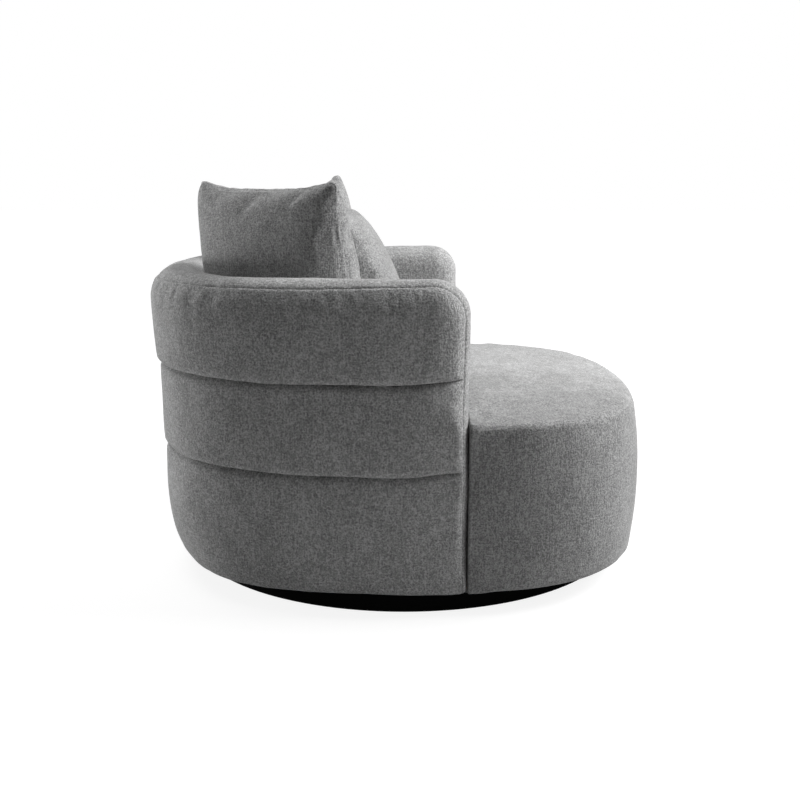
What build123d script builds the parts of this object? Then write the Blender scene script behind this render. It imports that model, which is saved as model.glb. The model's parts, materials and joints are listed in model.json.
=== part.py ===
from build123d import *
import os
from math import asin, atan2, cos, degrees, hypot, radians, sin, sqrt

# A barrel swivel armchair, in millimetres. +Z is up, the sitter faces -Y, and the sitter's right arm is at
# -X. The origin is on the floor, on the turning axis.

# Plan of the body: a square with bowed sides and large round corners
BODY_HALF = 590.0  # turning axis to the middle of each side, at the bottom of the body
SIDE_RADIUS = 1250.0
CORNER_RADIUS = 390.0
ARM_REACH = 150.0  # turning axis forward to the front of the arms

# Heights above the floor
FLOOR_RING_HEIGHT = 4.0
PLINTH_HEIGHT = 40.0
TURNING_GAP = 7.0  # top of the plinth to the bottom of the body
SEAT_HEIGHT = 430.0  # at the rim of the seat
LOWER_SEAM_HEIGHT = 319.0
UPPER_SEAM_HEIGHT = 518.0
STRIP_SEAM_HEIGHT = 722.0
BACK_HEIGHT = 736.0

# Padding of the back and arms
WRAP_THICKNESS = 110.0
OUTER_PAD = 30.0
INNER_PAD = 35.0
BACK_LEAN = 20.0  # how far the outside has moved out at the top
BAND_NIP = 8.0  # a band is drawn in this far at its lower seam
BAND_SWELL = 5.0  # and stands proud this far above it
BAND_ROLL = 16.0  # height of the roll along a band's lower edge
HEM_RADIUS = 26.0  # rounding along the bottom of the body
INNER_CROWN = 4.0
PAD_TUCK = 120.0  # the inner padding goes down this far behind the seat
STRIP_EDGE = 14.0  # rounding along both edges of the top strip
ARM_NOSE = 80.0  # rounding of an arm's top front corner, seen from the side
ARM_OUTER_ROUND = 50.0  # roundings of an arm's front, seen from above
ARM_INNER_ROUND = 32.0
ARM_FACING = 32.0
ARM_MARGIN = 2.0  # the outer rounding starts this far outside the fullest band

# Seat
SEAT_CROWN = 22.0
SEAT_RIM = 38.0
COVER = 5.0
SEAT_FOAM = 95.0
SPRING_PAD = 4.0
PANEL = 5.0

# Wooden frame
BOARD = 18.0
RAIL = 20.0
SPRING_RAIL_WIDTH = 60.0
POST = 40.0
UPRIGHTS = 7

# Springs
SPRING_WIRE_RADIUS = 1.9
SPRING_PITCH = 40.0
SPRING_WIDTH = 52.0
SPRING_BENDS = 18
SPRING_SPACING = 120.0
SPRINGS = 5
CLIP_HEIGHT = 8.0
CLIP_WIDTH = 24.0
CLIP_LENGTH = 26.0

# Plinth
PLINTH_INSET = 30.0  # inside the sides of the body
PLINTH_WALL = 18.0
FLOOR_RING_WIDTH = 50.0
FLOOR_RING_INSET = 4.0
DUST_COVER = 1.0

# Swivel
PLATE_SIZE = 320.0
PLATE = 3.0
PLATE_CORNER = 20.0
SCREW_SPACING = 280.0
RACE_RADIUS = 110.0
RACE_WIDTH = 30.0
RACE_FLOOR = 2.5  # steel under a ball, above the plate
BALL_RADIUS = 6.0
BALLS = 24
CAGE = 2.0
CAGE_WIDTH = 20.0
CAGE_GAP = 1.0
BOLT_RADIUS = 8.0
BOLT_HEAD_RADIUS = 14.0
BOLT_HEAD = 10.0
BOLT_TAIL = 4.0  # bolt past the nut
WASHER_RADIUS = 17.0
WASHER = 3.0
NUT = 13.0
BUSH_WALL = 3.0
NUT_ROOM = 12.0  # around the nut and the bolt's head, in the boards
SCREW_RADIUS = 3.0
SCREW_HEAD_RADIUS = 6.0
SCREW_HEAD = 4.0
SCREW_LENGTH = 18.0
PLATE_BOLT_RADIUS = 4.0
TNUT_WALL = 1.5
TNUT_FLANGE_RADIUS = 11.0
TNUT_FLANGE = 2.0

# Loose pillows
PILLOW_SIZE = 500.0
PILLOW_THICKNESS = 215.0
FRONT_PILLOW_SIZE = 450.0
FRONT_PILLOW_THICKNESS = 195.0
PILLOW_DRAW_IN = 16.0  # the sides pull in this far between the corners
PILLOW_BELLY = 10.0  # and bow out this far in the middle of its faces
PILLOW_EAR = 16.0  # rounding of a pillow's corners
PILLOW_COVER = 2.0
PILLOW_SECTIONS = 5
PILLOW_MIDDLE = 0.3  # width of the flat middle of a face, as a share of the pillow's
PILLOW_CROWDING = 1.3  # above 1, the sections crowd towards the seam
PILLOW_FULLNESS = 0.5  # below 1, the faces rise steeply from the seam
PILLOW_ROUNDNESS = 0.6  # rounding of the innermost section, as a share of its half width
RIGHT_PILLOW_TURN = 45.3  # from facing the front towards the sitter's left
RIGHT_PILLOW_LEAN = 11.0
LEFT_PILLOW_TURN = -35.5
LEFT_PILLOW_LEAN = 14.0
LEFT_PILLOW_ROLL = 2.4  # its outer side stands higher
FRONT_PILLOW_LEAN = 23.0
RIGHT_PILLOW_BACK_GAP = 201.0  # middle of a pillow to the inside of the back
RIGHT_PILLOW_SIDE_GAP = 199.0  # and to the inside of the arm beside it
LEFT_PILLOW_BACK_GAP = 179.0
LEFT_PILLOW_SIDE_GAP = 235.0
FRONT_PILLOW_BACK_GAP = 370.0

# Clearances
FIT = 0.3  # soft against soft, and boards against their neighbours
RUNNING = 0.06  # the bush on its bolt
HOLE_CLEARANCE = 0.15
BALL_CLEARANCE = 0.25

# Heights and offsets that follow from those sizes
plinth_top = FLOOR_RING_HEIGHT + PLINTH_HEIGHT
body_bottom = plinth_top + TURNING_GAP
board_bottom = body_bottom + DUST_COVER
board_top = board_bottom + BOARD
bearing_height = 2 * (PLATE + RACE_FLOOR + BALL_RADIUS)
base_board_top = board_bottom - bearing_height
ball_height = board_bottom - bearing_height / 2
plinth_radius = BODY_HALF - PLINTH_INSET
foam_bottom = SEAT_HEIGHT - COVER - SEAT_FOAM
spring_rail_top = foam_bottom - SPRING_PAD - CLIP_HEIGHT - 2 * FIT
spring_height = spring_rail_top + CLIP_HEIGHT / 2
frame_outside = OUTER_PAD + FIT
frame_inside = WRAP_THICKNESS - INNER_PAD - FIT
# An upright is thinner than the rails by twice the bow of its faces, so that it stays between the pads
upright_curve = CORNER_RADIUS - frame_outside
upright_bow = upright_curve - sqrt(upright_curve**2 - (POST / 2) ** 2)
upright_depth = frame_inside - frame_outside - 2 * upright_bow
frame_end = ARM_REACH - ARM_NOSE
board_inset = OUTER_PAD + PANEL + 2 * FIT
seat_behind = WRAP_THICKNESS + FIT
bolt_foot = base_board_top - BOLT_HEAD
bolt_top = board_bottom + FIT + WASHER + NUT + BOLT_TAIL

# Middle of a quarter arc, along either of its legs
quarter_middle = sqrt(0.5)

# A cut that runs out past the body reaches this far
beyond = BODY_HALF / 4

# The corner arcs are tangent to the side arcs
side_centre = SIDE_RADIUS - BODY_HALF
corner_centre = (sqrt(2 * (SIDE_RADIUS - CORNER_RADIUS) ** 2 - side_centre**2) - side_centre) / 2
side_turn = degrees(atan2(corner_centre, corner_centre + side_centre))
corner_turn = 90 - 2 * side_turn

# The top of the seat is part of a large ball
crown_radius = (BODY_HALF**2 + SEAT_CROWN**2) / (2 * SEAT_CROWN)


def lean(height):
    """How far the outside of the wrap has moved out at a height."""
    return BACK_LEAN * (height - body_bottom) / (BACK_HEIGHT - body_bottom)


def seat_top(x, y):
    """Height of the seat's crown at a place in plan."""
    return SEAT_HEIGHT + SEAT_CROWN - crown_radius + sqrt(crown_radius**2 - x**2 - y**2)


def turned(x, y, angle):
    """A point in plan, turned about the axis of the chair."""
    turn = radians(angle)
    return (x * cos(turn) - y * sin(turn), x * sin(turn) + y * cos(turn))


def body_arcs(offset):
    """Closed outline of the body, moved out by an offset."""
    for quarter in range(4):
        start = 90 * quarter
        CenterArc(turned(-side_centre, 0, start), SIDE_RADIUS + offset, start - side_turn, 2 * side_turn)
        corner = turned(corner_centre, corner_centre, start)
        CenterArc(corner, CORNER_RADIUS + offset, start + side_turn, corner_turn)


def wrap_arcs(offset, reach):
    """Open line round the back, from the right arm's front to the left arm's."""
    side = SIDE_RADIUS + offset
    corner = CORNER_RADIUS + offset
    arm_turn = degrees(asin(reach / side))
    CenterArc((side_centre, 0), side, 180 + arm_turn, -(arm_turn + side_turn))
    CenterArc((-corner_centre, corner_centre), corner, 180 - side_turn, -corner_turn)
    CenterArc((0, -side_centre), side, 90 + side_turn, -2 * side_turn)
    CenterArc((corner_centre, corner_centre), corner, 90 - side_turn, -corner_turn)
    CenterArc((-side_centre, 0), side, side_turn, -(arm_turn + side_turn))


def arm_front(offset, reach):
    """Where such a line ends at the left arm's front."""
    side = SIDE_RADIUS + offset
    return (sqrt(side**2 - reach**2) - side_centre, -reach)


def body_plan(inset):
    """The whole body in plan, drawn in by an inset."""
    with BuildSketch() as plan:
        with BuildLine():
            body_arcs(-inset)
        make_face()
    return plan.sketch


def wrap_plan(outer, inner, reach):
    """The back and arms in plan, between two offsets from the body's outline."""
    with BuildSketch() as plan:
        with BuildLine():
            wrap_arcs(outer, reach)
            wrap_arcs(inner, reach)
            outer_x, front_y = arm_front(outer, reach)
            inner_x, front_y = arm_front(inner, reach)
            Line((outer_x, front_y), (inner_x, front_y))
            Line((-outer_x, front_y), (-inner_x, front_y))
        make_face()
    return plan.sketch


def seat_plan(inset):
    """The seat in plan, full width in front of the arms and between them behind."""
    with BuildSketch() as plan:
        add(body_plan(inset))
        add(wrap_plan(beyond, -seat_behind - inset, ARM_REACH + FIT + inset), mode=Mode.SUBTRACT)
    return plan.sketch


def board_plan(inset):
    """The seat board, out to the panel in front and to the outer padding behind."""
    with BuildSketch() as plan:
        add(body_plan(board_inset + inset))
        add(wrap_plan(beyond, -frame_outside - inset, ARM_REACH + inset), mode=Mode.SUBTRACT)
    return plan.sketch


def outline_depth(point):
    """How far a point is inside the body's outline."""
    x, y = abs(point.X), abs(point.Y)
    corner_angle = degrees(atan2(y - corner_centre, x - corner_centre))
    if side_turn <= corner_angle <= 90 - side_turn:
        return CORNER_RADIUS - hypot(x - corner_centre, y - corner_centre)
    return SIDE_RADIUS - hypot(max(x, y) + side_centre, min(x, y))


def on_outline(edge, inset):
    """Whether an edge follows the body's outline in front of the arms, at an inset."""
    middle = edge @ 0.5
    return middle.Y < -ARM_REACH and abs(outline_depth(middle) - inset) < FIT / 2


def name_and_write(piece, name):
    """Label a finished piece and write it under that name."""
    piece.label = name
    export_step(piece, f"parts/{name}.step")


os.makedirs("parts", exist_ok=True)

# Plinth, which stands on the floor
with BuildPart() as floor_ring:
    with BuildSketch():
        Circle(plinth_radius - FLOOR_RING_INSET)
        Circle(plinth_radius - FLOOR_RING_INSET - FLOOR_RING_WIDTH, mode=Mode.SUBTRACT)
    extrude(amount=FLOOR_RING_HEIGHT)
name_and_write(floor_ring.part, "floor_ring")

with BuildPart() as plinth_ring:
    with BuildSketch(Plane.XY.offset(FLOOR_RING_HEIGHT)):
        Circle(plinth_radius)
        Circle(plinth_radius - PLINTH_WALL, mode=Mode.SUBTRACT)
    extrude(amount=PLINTH_HEIGHT)
name_and_write(plinth_ring.part, "plinth_ring")

with BuildPart() as base_board:
    with BuildSketch(Plane.XY.offset(FLOOR_RING_HEIGHT)):
        Circle(plinth_radius - PLINTH_WALL - FIT)
        Circle(BOLT_HEAD_RADIUS + NUT_ROOM, mode=Mode.SUBTRACT)
        with GridLocations(SCREW_SPACING, SCREW_SPACING, 2, 2):
            Circle(SCREW_RADIUS + HOLE_CLEARANCE, mode=Mode.SUBTRACT)
    extrude(amount=base_board_top - FLOOR_RING_HEIGHT)
name_and_write(base_board.part, "base_board")


def swivel_plate(plate_plane, hole_radius, screw_radius):
    """A square steel plate with a raised ball race, built away from its board."""
    with BuildPart() as plate:
        with BuildSketch(plate_plane):
            RectangleRounded(PLATE_SIZE, PLATE_SIZE, PLATE_CORNER)
            Circle(hole_radius, mode=Mode.SUBTRACT)
            with GridLocations(SCREW_SPACING, SCREW_SPACING, 2, 2):
                Circle(screw_radius + HOLE_CLEARANCE, mode=Mode.SUBTRACT)
        extrude(amount=PLATE)
        with BuildSketch(plate_plane.offset(PLATE)):
            Circle(RACE_RADIUS + RACE_WIDTH / 2)
            Circle(RACE_RADIUS - RACE_WIDTH / 2, mode=Mode.SUBTRACT)
        extrude(amount=bearing_height / 2 - PLATE - CAGE / 2 - CAGE_GAP)
        with Locations(plate_plane.offset(bearing_height / 2)):
            Torus(RACE_RADIUS, BALL_RADIUS + BALL_CLEARANCE, mode=Mode.SUBTRACT)
    return plate.part


lower_plate_plane = Plane.XY.offset(base_board_top)
upper_plate_plane = Plane(origin=(0, 0, board_bottom), x_dir=(1, 0, 0), z_dir=(0, 0, -1))
bush_radius = BOLT_RADIUS + RUNNING + BUSH_WALL
lower_plate = swivel_plate(lower_plate_plane, BOLT_RADIUS + HOLE_CLEARANCE, SCREW_RADIUS)
name_and_write(lower_plate, "swivel_lower_plate")
upper_plate = swivel_plate(upper_plate_plane, bush_radius + HOLE_CLEARANCE, PLATE_BOLT_RADIUS)
name_and_write(upper_plate, "swivel_upper_plate")

with BuildPart() as lower_plate_screws:
    with BuildSketch(lower_plate_plane.offset(PLATE)):
        with GridLocations(SCREW_SPACING, SCREW_SPACING, 2, 2):
            Circle(SCREW_HEAD_RADIUS)
    extrude(amount=SCREW_HEAD)
    with BuildSketch(lower_plate_plane.offset(PLATE)):
        with GridLocations(SCREW_SPACING, SCREW_SPACING, 2, 2):
            Circle(SCREW_RADIUS)
    extrude(amount=-SCREW_LENGTH)
name_and_write(lower_plate_screws.part, "lower_plate_screws")

# Bolt on the turning axis, its washer and its nut
with BuildPart() as swivel_bolt:
    with BuildSketch(Plane.XY.offset(bolt_foot)):
        RegularPolygon(BOLT_HEAD_RADIUS, 6)
    extrude(amount=BOLT_HEAD)
    with BuildSketch(Plane.XY.offset(bolt_foot)):
        Circle(BOLT_RADIUS)
    extrude(amount=bolt_top - bolt_foot)
name_and_write(swivel_bolt.part, "swivel_bolt")

with BuildPart() as swivel_washer:
    with BuildSketch(Plane.XY.offset(board_bottom + FIT)):
        Circle(WASHER_RADIUS)
        Circle(BOLT_RADIUS + HOLE_CLEARANCE, mode=Mode.SUBTRACT)
    extrude(amount=WASHER)
name_and_write(swivel_washer.part, "swivel_washer")

with BuildPart() as swivel_nut:
    with BuildSketch(Plane.XY.offset(board_bottom + FIT + WASHER)):
        RegularPolygon(BOLT_HEAD_RADIUS, 6)
        Circle(BOLT_RADIUS + HOLE_CLEARANCE, mode=Mode.SUBTRACT)
    extrude(amount=NUT)
name_and_write(swivel_nut.part, "swivel_nut")

with BuildPart() as pivot_bush:
    with BuildSketch(Plane.XY.offset(board_bottom - PLATE)):
        Circle(bush_radius)
        Circle(BOLT_RADIUS + RUNNING, mode=Mode.SUBTRACT)
    extrude(amount=PLATE)
name_and_write(pivot_bush.part, "pivot_bush")

# Balls and the ring that spaces them
with BuildPart() as bearing_balls:
    with Locations((0, 0, ball_height)):
        with PolarLocations(RACE_RADIUS, BALLS):
            Sphere(BALL_RADIUS)
name_and_write(bearing_balls.part, "bearing_balls")

with BuildPart() as ball_cage:
    with BuildSketch(Plane.XY.offset(ball_height - CAGE / 2)):
        Circle(RACE_RADIUS + CAGE_WIDTH / 2)
        Circle(RACE_RADIUS - CAGE_WIDTH / 2, mode=Mode.SUBTRACT)
        with PolarLocations(RACE_RADIUS, BALLS):
            Circle(BALL_RADIUS + BALL_CLEARANCE, mode=Mode.SUBTRACT)
    extrude(amount=CAGE)
name_and_write(ball_cage.part, "ball_cage")

# Bolts up through the upper plate, and the T-nuts that they hold in the seat board
tnut_radius = PLATE_BOLT_RADIUS + HOLE_CLEARANCE + TNUT_WALL
with BuildPart() as upper_plate_bolts:
    with BuildSketch(upper_plate_plane.offset(PLATE)):
        with GridLocations(SCREW_SPACING, SCREW_SPACING, 2, 2):
            Circle(SCREW_HEAD_RADIUS)
    extrude(amount=SCREW_HEAD)
    with BuildSketch(upper_plate_plane.offset(PLATE)):
        with GridLocations(SCREW_SPACING, SCREW_SPACING, 2, 2):
            Circle(PLATE_BOLT_RADIUS)
    extrude(amount=-(PLATE + BOARD + TNUT_FLANGE))
name_and_write(upper_plate_bolts.part, "upper_plate_bolts")

with BuildPart() as upper_plate_tnuts:
    with BuildSketch(Plane.XY.offset(board_top)):
        with GridLocations(SCREW_SPACING, SCREW_SPACING, 2, 2):
            Circle(TNUT_FLANGE_RADIUS)
    extrude(amount=TNUT_FLANGE)
    with BuildSketch(Plane.XY.offset(board_top)):
        with GridLocations(SCREW_SPACING, SCREW_SPACING, 2, 2):
            Circle(tnut_radius)
    extrude(amount=-BOARD / 2)
    with BuildSketch(Plane.XY.offset(board_top + TNUT_FLANGE)):
        with GridLocations(SCREW_SPACING, SCREW_SPACING, 2, 2):
            Circle(PLATE_BOLT_RADIUS + HOLE_CLEARANCE)
    extrude(amount=-(BOARD + TNUT_FLANGE), mode=Mode.SUBTRACT)
name_and_write(upper_plate_tnuts.part, "upper_plate_tnuts")

# Boards and posts of the seat
with BuildPart() as dust_cover:
    with BuildSketch(Plane.XY.offset(body_bottom)):
        add(board_plan(FIT))
        Circle(PLATE_SIZE / sqrt(2), mode=Mode.SUBTRACT)
    extrude(amount=DUST_COVER)
name_and_write(dust_cover.part, "dust_cover")

with BuildPart() as seat_board:
    with BuildSketch(Plane.XY.offset(board_bottom)):
        add(board_plan(0))
        Circle(WASHER_RADIUS + NUT_ROOM, mode=Mode.SUBTRACT)
        with GridLocations(SCREW_SPACING, SCREW_SPACING, 2, 2):
            Circle(tnut_radius + HOLE_CLEARANCE, mode=Mode.SUBTRACT)
    extrude(amount=BOARD)
name_and_write(seat_board.part, "seat_board")

with BuildPart() as spring_rail:
    with BuildSketch(Plane.XY.offset(spring_rail_top - RAIL)):
        add(seat_plan(board_inset))
        add(seat_plan(board_inset + SPRING_RAIL_WIDTH), mode=Mode.SUBTRACT)
    extrude(amount=RAIL)
name_and_write(spring_rail.part, "spring_rail")

front_rail_line = board_inset + SPRING_RAIL_WIDTH / 2  # inside the body's outline
rear_rail_line = seat_behind + front_rail_line
with BuildPart() as seat_posts:
    post_height = spring_rail_top - RAIL - board_top
    for inset, way in ((front_rail_line, -1), (rear_rail_line, 1)):
        middle = Location((0, way * (BODY_HALF - inset), board_top))
        reach = corner_centre + (CORNER_RADIUS - inset) * quarter_middle
        right = Location((-reach, way * reach, board_top), (0, 0, 45))
        left = Location((reach, way * reach, board_top), (0, 0, 45))
        with Locations(middle, right, left):
            Box(POST, POST, post_height, align=(Align.CENTER, Align.CENTER, Align.MIN))
    with Locations((0, 0, board_top)):
        with GridLocations(2 * (BODY_HALF - rear_rail_line), 1, 2, 1):
            Box(POST, POST, post_height, align=(Align.CENTER, Align.CENTER, Align.MIN))
name_and_write(seat_posts.part, "seat_posts")


def spring_ends(x):
    """Where a spring at this place crosses the middle of the front and rear of the rail."""
    front = side_centre - sqrt((SIDE_RADIUS - front_rail_line) ** 2 - x**2)
    rear = sqrt((SIDE_RADIUS - rear_rail_line) ** 2 - x**2) - side_centre
    return front, rear


# Zigzag springs from front to rear, and the clips that hold their ends
spring_bend = 0.45 * min(SPRING_PITCH, SPRING_WIDTH)  # two bends fit in one pitch or one width
spring_lines = [SPRING_SPACING * (i - (SPRINGS - 1) / 2) for i in range(SPRINGS)]
with BuildPart() as seat_springs:
    for x in spring_lines:
        front, rear = spring_ends(x)
        first_bend = (front + rear - SPRING_BENDS * SPRING_PITCH) / 2
        corners = [(x, front), (x, first_bend)]
        for bend in range(SPRING_BENDS):
            side = SPRING_WIDTH / 2 * (-1) ** bend
            corners.append((x + side, first_bend + bend * SPRING_PITCH))
            corners.append((x + side, first_bend + (bend + 1) * SPRING_PITCH))
        corners.append((x, first_bend + SPRING_BENDS * SPRING_PITCH))
        corners.append((x, rear))
        with BuildLine(Plane.XY.offset(spring_height)) as wire:
            FilletPolyline(*corners, radius=spring_bend)
        with BuildSketch(Plane(origin=(x, front, spring_height), z_dir=(0, 1, 0))):
            Circle(SPRING_WIRE_RADIUS)
        sweep(path=wire.wire())
name_and_write(seat_springs.part, "seat_springs")

with BuildPart() as spring_clips:
    for x in spring_lines:
        for y in spring_ends(x):
            with Locations((x, y, spring_height)):
                Box(CLIP_WIDTH, CLIP_LENGTH, CLIP_HEIGHT)
                bore = SPRING_WIRE_RADIUS + HOLE_CLEARANCE
                Cylinder(bore, CLIP_LENGTH, rotation=(90, 0, 0), mode=Mode.SUBTRACT)
name_and_write(spring_clips.part, "spring_clips")

with BuildPart() as spring_pad:
    with BuildSketch(Plane.XY.offset(foam_bottom - SPRING_PAD - FIT)):
        add(seat_plan(board_inset))
    extrude(amount=SPRING_PAD)
name_and_write(spring_pad.part, "spring_pad")


def front_wall(outer, inner, bottom, top):
    """A wall round the front of the seat, between two insets from the body's outline."""
    with BuildPart() as wall:
        with BuildSketch(Plane.XY.offset(bottom)):
            add(body_plan(outer))
            add(body_plan(inner), mode=Mode.SUBTRACT)
            with Locations((0, -(ARM_REACH + COVER + 2 * FIT))):
                width = 2 * (BODY_HALF + beyond)
                Rectangle(width, width, align=(Align.CENTER, Align.MIN), mode=Mode.SUBTRACT)
        extrude(amount=top - bottom)
    return wall.part


with BuildPart() as front_panel:
    panel_bottom = body_bottom + COVER + FIT
    add(front_wall(OUTER_PAD + FIT, OUTER_PAD + FIT + PANEL, panel_bottom, spring_rail_top))
name_and_write(front_panel.part, "front_panel")

with BuildPart() as front_pad:
    add(front_wall(COVER + FIT, OUTER_PAD, body_bottom + COVER + FIT, foam_bottom - FIT))
    pad_foot = front_pad.faces().sort_by(Axis.Z)[0]
    pad_hem = pad_foot.edges().filter_by(lambda edge: on_outline(edge, COVER + FIT))
    fillet(pad_hem, min(HEM_RADIUS, OUTER_PAD) - COVER - 2 * FIT)
name_and_write(front_pad.part, "front_pad")


def seat_form(bottom, inset, hem_radius):
    """The seat's drum, with its crowned top and soft rim, drawn in on all sides by an inset."""
    with BuildPart() as form:
        with BuildSketch(Plane.XY.offset(bottom)):
            add(seat_plan(inset))
        extrude(amount=SEAT_HEIGHT + 2 * SEAT_CROWN - bottom)
        with Locations((0, 0, SEAT_HEIGHT + SEAT_CROWN - crown_radius)):
            Sphere(crown_radius - inset, mode=Mode.INTERSECT)
        rim = form.faces().sort_by(Axis.Z)[-1].edges().filter_by(lambda edge: on_outline(edge, inset))
        fillet(rim, SEAT_RIM - inset)
        if hem_radius:
            hem = form.faces().sort_by(Axis.Z)[0].edges().filter_by(lambda edge: on_outline(edge, inset))
            fillet(hem, hem_radius)
    return form.part


with BuildPart() as seat_foam:
    add(seat_form(foam_bottom, COVER + FIT, 0))
name_and_write(seat_foam.part, "seat_foam")

with BuildPart() as seat_cover:
    add(seat_form(body_bottom, 0, min(HEM_RADIUS, OUTER_PAD)))
    add(seat_form(body_bottom + COVER, COVER, min(HEM_RADIUS, OUTER_PAD) - COVER), mode=Mode.SUBTRACT)
    with BuildSketch(Plane.XY.offset(body_bottom)):
        add(board_plan(-FIT))
    extrude(amount=DUST_COVER + BOARD + FIT, mode=Mode.SUBTRACT)
name_and_write(seat_cover.part, "seat_cover")

# Rails of the back and arms, and the uprights between them
middle_rail_top = UPPER_SEAM_HEIGHT
top_rail_top = STRIP_SEAM_HEIGHT


def back_rail(top):
    """A C-shaped plywood rail whose top is at a height."""
    with BuildPart() as rail:
        with BuildSketch(Plane.XY.offset(top - RAIL)):
            add(wrap_plan(-frame_outside, -frame_inside, frame_end))
        extrude(amount=RAIL)
    return rail.part


name_and_write(back_rail(board_top + RAIL), "back_lower_rail")
name_and_write(back_rail(middle_rail_top), "back_middle_rail")
name_and_write(back_rail(top_rail_top), "back_top_rail")

with BuildLine() as frame_line:
    wrap_arcs(-(frame_outside + frame_inside) / 2, frame_end)
with BuildPart() as back_uprights:
    spans = ((board_top + RAIL, middle_rail_top - RAIL), (middle_rail_top, top_rail_top - RAIL))
    for i in range(UPRIGHTS):
        share = (i + 0.5) / UPRIGHTS
        place = frame_line.wire() @ share
        along = frame_line.wire() % share
        turn = degrees(atan2(along.Y, along.X))
        for foot, head in spans:
            with Locations(Location((place.X, place.Y, foot), (0, 0, turn))):
                Box(POST, upright_depth, head - foot, align=(Align.CENTER, Align.CENTER, Align.MIN))
    front_foot = ARM_REACH - ARM_FACING - FIT
    with BuildSketch(Plane.XY.offset(board_top)):
        add(wrap_plan(-frame_outside, -frame_inside, front_foot))
        add(wrap_plan(beyond, -WRAP_THICKNESS - beyond, frame_end + FIT), mode=Mode.SUBTRACT)
    extrude(amount=BACK_HEIGHT - ARM_NOSE - board_top)
name_and_write(back_uprights.part, "back_uprights")

# Padding of the wrap. A profile stands across the right arm, past its front, and is swept round to the left
# arm. The arms' fronts are then cut to shape.
with BuildLine() as wrap_line:
    wrap_arcs(0, ARM_REACH + ARM_FACING)
wrap_start = wrap_line.wire() @ 0
wrap_way = wrap_line.wire() % 0
profile_plane = Plane(origin=wrap_start, x_dir=(-wrap_way.Y, wrap_way.X, 0), z_dir=wrap_way)
wrap_outside = BACK_LEAN + BAND_SWELL + ARM_MARGIN
mould_top = BACK_HEIGHT + FIT  # the nose then crosses the strip's flat top, and isn't just tangent to it

# The outer shape of the back and arms, with the arms' fronts rounded in plan and seen from the side
with BuildPart() as arm_mould:
    with BuildSketch() as mould_plan:
        add(wrap_plan(wrap_outside, -WRAP_THICKNESS, ARM_REACH))
        fillet(mould_plan.vertices().group_by(Axis.Y)[0].sort_by(Axis.X)[1:3], ARM_INNER_ROUND)
        arm_corners = mould_plan.vertices().group_by(Axis.Y)[0].sort_by(Axis.X)
        fillet([arm_corners[0], arm_corners[-1]], ARM_OUTER_ROUND)
    extrude(amount=mould_top)
    with BuildSketch(Plane.YZ):
        with BuildLine():
            nose_centre = (-ARM_REACH + ARM_NOSE, mould_top - ARM_NOSE)
            nose = CenterArc(nose_centre, ARM_NOSE, 90, 90)
            behind = BODY_HALF + beyond
            Polyline(nose @ 1, (-ARM_REACH, 0), (behind, 0), (behind, mould_top), nose @ 0)
        make_face()
    extrude(amount=BODY_HALF + beyond, both=True, mode=Mode.INTERSECT)


def swept_pad(profile):
    """A padded piece of the wrap: its profile swept round the back and shaped to the arms' fronts."""
    with BuildPart() as pad:
        sweep(sections=profile, path=wrap_line.wire())
        add(arm_mould.part, mode=Mode.INTERSECT)
    return pad.part


def band_profile(bottom, top):
    """A tier that rolls out over its lower seam and eases in to its upper one."""
    middle = (bottom + top) / 2
    roll_foot = (lean(bottom) - BAND_NIP, bottom)
    roll_top = (lean(bottom) + BAND_SWELL, bottom + BAND_ROLL)
    roll_out = quarter_middle * (BAND_NIP + BAND_SWELL)
    roll_middle = (roll_foot[0] + roll_out, bottom + (1 - quarter_middle) * BAND_ROLL)
    with BuildSketch(profile_plane) as profile:
        with BuildLine():
            ThreePointArc(roll_foot, roll_middle, roll_top)
            ThreePointArc(roll_top, (lean(middle) + BAND_SWELL, middle), (lean(top), top))
            Polyline((lean(top), top), (-OUTER_PAD, top), (-OUTER_PAD, bottom), roll_foot)
        make_face()
    return profile.sketch


def lower_band_profile():
    """The lowest tier, rounded under along its hem."""
    hem = min(HEM_RADIUS, OUTER_PAD - FIT)
    top = LOWER_SEAM_HEIGHT - FIT
    middle = (body_bottom + top) / 2
    with BuildSketch(profile_plane) as profile:
        with BuildLine():
            CenterArc((-hem, body_bottom + hem), hem, 270, 90)
            swell = (lean(middle) + BAND_SWELL, middle)
            ThreePointArc((0, body_bottom + hem), swell, (lean(top), top))
            Polyline((lean(top), top), (-OUTER_PAD, top), (-OUTER_PAD, body_bottom), (-hem, body_bottom))
        make_face()
    return profile.sketch


name_and_write(swept_pad(lower_band_profile()), "lower_band")
name_and_write(swept_pad(band_profile(LOWER_SEAM_HEIGHT, UPPER_SEAM_HEIGHT - FIT)), "middle_band")
name_and_write(swept_pad(band_profile(UPPER_SEAM_HEIGHT, STRIP_SEAM_HEIGHT)), "upper_band")

inner_top = -WRAP_THICKNESS + BACK_LEAN / 2
with BuildSketch(profile_plane) as inner_profile:
    with BuildLine():
        pad_foot = SEAT_HEIGHT - PAD_TUCK
        face_middle = (-WRAP_THICKNESS + BACK_LEAN / 4 - INNER_CROWN, (SEAT_HEIGHT + STRIP_SEAM_HEIGHT) / 2)
        ThreePointArc((-WRAP_THICKNESS, SEAT_HEIGHT), face_middle, (inner_top, STRIP_SEAM_HEIGHT))
        back_of_pad = -WRAP_THICKNESS + INNER_PAD
        Polyline(
            (inner_top, STRIP_SEAM_HEIGHT),
            (back_of_pad, STRIP_SEAM_HEIGHT),
            (back_of_pad, pad_foot),
            (-WRAP_THICKNESS, pad_foot),
            (-WRAP_THICKNESS, SEAT_HEIGHT),
        )
    make_face()
name_and_write(swept_pad(inner_profile.sketch), "inner_pad")

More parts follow.
